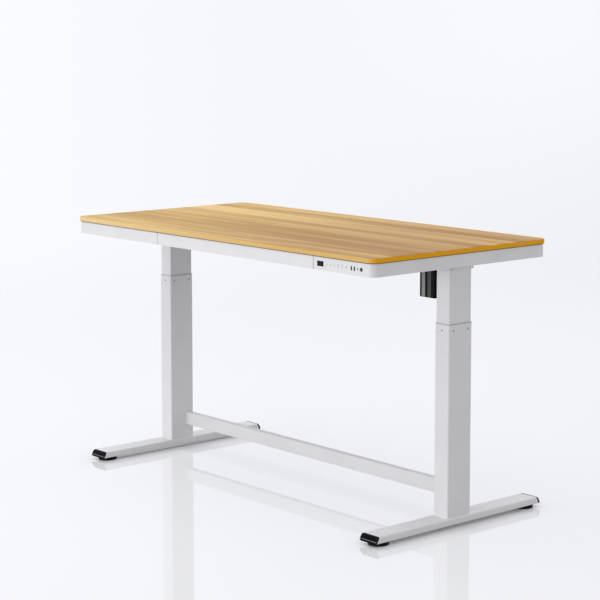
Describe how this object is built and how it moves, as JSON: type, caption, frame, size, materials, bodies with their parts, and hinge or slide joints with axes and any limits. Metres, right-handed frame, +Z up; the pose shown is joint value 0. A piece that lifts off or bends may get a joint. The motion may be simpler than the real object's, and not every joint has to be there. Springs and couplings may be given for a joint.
{
  "type": "height adjustable standing desk",
  "caption": "Sit-stand desk with a wood top on a white skirted frame, two motor-driven telescopic legs, a shallow drawer and a front control panel.",
  "frame": {"origin": "on the floor, under the middle of the top at the stored height of 802 mm", "axes": "+Z up, -Y towards the seated user, +X to the user's right"},
  "size_m": [1.4, 0.7, 0.802],
  "materials": {
    "white_paint": "satin white powder coat",
    "top_veneer": "satin lacquered oak veneer, grain along the width",
    "gasket_foam": "closed-cell foam tape",
    "black_plastic": "fine moulded texture",
    "glide_rubber": "smooth moulded",
    "collar_plastic": "moulded grey",
    "zinc_steel": "zinc plated",
    "dark_steel": "black oxide",
    "nut_plastic": "acetal",
    "gear_case": "die cast",
    "display_gloss": "smoked window",
    "button_plastic": "dark grey",
    "cable_sheath": "cable jacket"
  },
  "bodies": {
    "base": {"foot_left": "white_paint", "foot_right": "white_paint", "foot_end_caps": "black_plastic", "base_plates": "zinc_steel", "base_screws": "dark_steel", "column_outer_left": "white_paint", "column_outer_right": "white_paint", "guide_collar_left": "collar_plastic", "guide_collar_right": "collar_plastic", "push_tube_left": "zinc_steel", "push_tube_right": "zinc_steel", "lift_nut_left": "nut_plastic", "lift_nut_right": "nut_plastic", "crossbar": "white_paint", "crossbar_brackets": "zinc_steel", "crossbar_screws": "zinc_steel"},
    "lift": {"desktop": "top_veneer", "top_gasket": "gasket_foam", "skirt_left": "white_paint", "skirt_right": "white_paint", "rear_panel": "white_paint", "side_arm_left": "white_paint", "side_arm_right": "white_paint", "frame_rail_front": "zinc_steel", "frame_rail_rear": "zinc_steel", "column_head_left": "white_paint", "column_head_right": "white_paint", "column_inner_left": "white_paint", "column_inner_right": "white_paint", "screw_bearings": "zinc_steel", "gearbox_left": "gear_case", "gearbox_right": "gear_case", "drive_case": "gear_case", "motor_can": "dark_steel", "motor_cover": "black_plastic", "control_box": "black_plastic", "power_inlet": "black_plastic", "motor_lead": "cable_sheath", "control_unit": "black_plastic", "display_window": "display_gloss", "usb_ports": "black_plastic", "button_housing": "black_plastic", "head_bolts": "dark_steel", "desktop_screws": "dark_steel", "drawer_housing": "zinc_steel", "slide_outers": "zinc_steel"},
    "drawer": {"slide_inners": "zinc_steel", "drawer_tray": "white_paint", "drawer_front": "white_paint"},
    "drawer_slides": {"slide_middles": "zinc_steel"},
    "power_button": {"power_button": "button_plastic"},
    "left_screw": {"lead_screw_left": "zinc_steel"},
    "right_screw": {"lead_screw_right": "zinc_steel"},
    "cross_shaft": {"cross_shaft": "zinc_steel", "worm_wheel": "nut_plastic"},
    "motor_shaft": {"motor_worm": "zinc_steel"},
    "glide_front_left": {"glide_front_left": "glide_rubber"},
    "glide_front_right": {"glide_front_right": "glide_rubber"},
    "glide_rear_left": {"glide_rear_left": "glide_rubber"},
    "glide_rear_right": {"glide_rear_right": "glide_rubber"}
  },
  "joints": [
    {"name": "desk_lift", "type": "slide", "parent": "base", "child": "lift", "axis": [0, 0, 1], "range_m": [-0.082, 0.378]},
    {"name": "drawer_pull", "type": "slide", "parent": "lift", "child": "drawer", "axis": [0, -1, 0], "range_m": [0, 0.25]},
    {"name": "drawer_slide_travel", "type": "slide", "parent": "lift", "child": "drawer_slides", "axis": [0, -1, 0], "range_m": [0, 0.125]},
    {"name": "power_button_press", "type": "slide", "parent": "lift", "child": "power_button", "axis": [0, 1, 0], "range_m": [0, 0.0008], "stiffness_N_per_m": 3500},
    {"name": "left_screw_turn", "type": "hinge", "parent": "lift", "child": "left_screw", "pos_m": [-0.6475, 0.0128, 0.4], "axis": [0, 0, 1], "range_deg": [-1850, 8510]},
    {"name": "right_screw_turn", "type": "hinge", "parent": "lift", "child": "right_screw", "pos_m": [0.6475, 0.0128, 0.4], "axis": [0, 0, 1], "range_deg": [-1850, 8510]},
    {"name": "cross_shaft_turn", "type": "hinge", "parent": "lift", "child": "cross_shaft", "pos_m": [0, 0.0128, 0.768], "axis": [1, 0, 0], "range_deg": [-1850, 8510]},
    {"name": "motor_shaft_turn", "type": "hinge", "parent": "lift", "child": "motor_shaft", "pos_m": [0.587, -0.0052, 0.76], "axis": [0, 0, 1], "range_deg": [-18500, 85100]},
    {"name": "glide_front_left_level", "type": "slide", "parent": "base", "child": "glide_front_left", "axis": [0, 0, -1], "range_m": [0, 0.012]},
    {"name": "glide_rear_left_level", "type": "slide", "parent": "base", "child": "glide_rear_left", "axis": [0, 0, -1], "range_m": [0, 0.012]},
    {"name": "glide_front_right_level", "type": "slide", "parent": "base", "child": "glide_front_right", "axis": [0, 0, -1], "range_m": [0, 0.012]},
    {"name": "glide_rear_right_level", "type": "slide", "parent": "base", "child": "glide_rear_right", "axis": [0, 0, -1], "range_m": [0, 0.012]}
  ],
  "couplings": [
    {"joint": "left_screw_turn", "follows": "desk_lift", "rad_per_m": 392.7},
    {"joint": "right_screw_turn", "follows": "desk_lift", "rad_per_m": 392.7},
    {"joint": "cross_shaft_turn", "follows": "desk_lift", "rad_per_m": 392.7},
    {"joint": "motor_shaft_turn", "follows": "desk_lift", "rad_per_m": 3927},
    {"joint": "drawer_slide_travel", "follows": "drawer_pull", "ratio": 0.5}
  ]
}
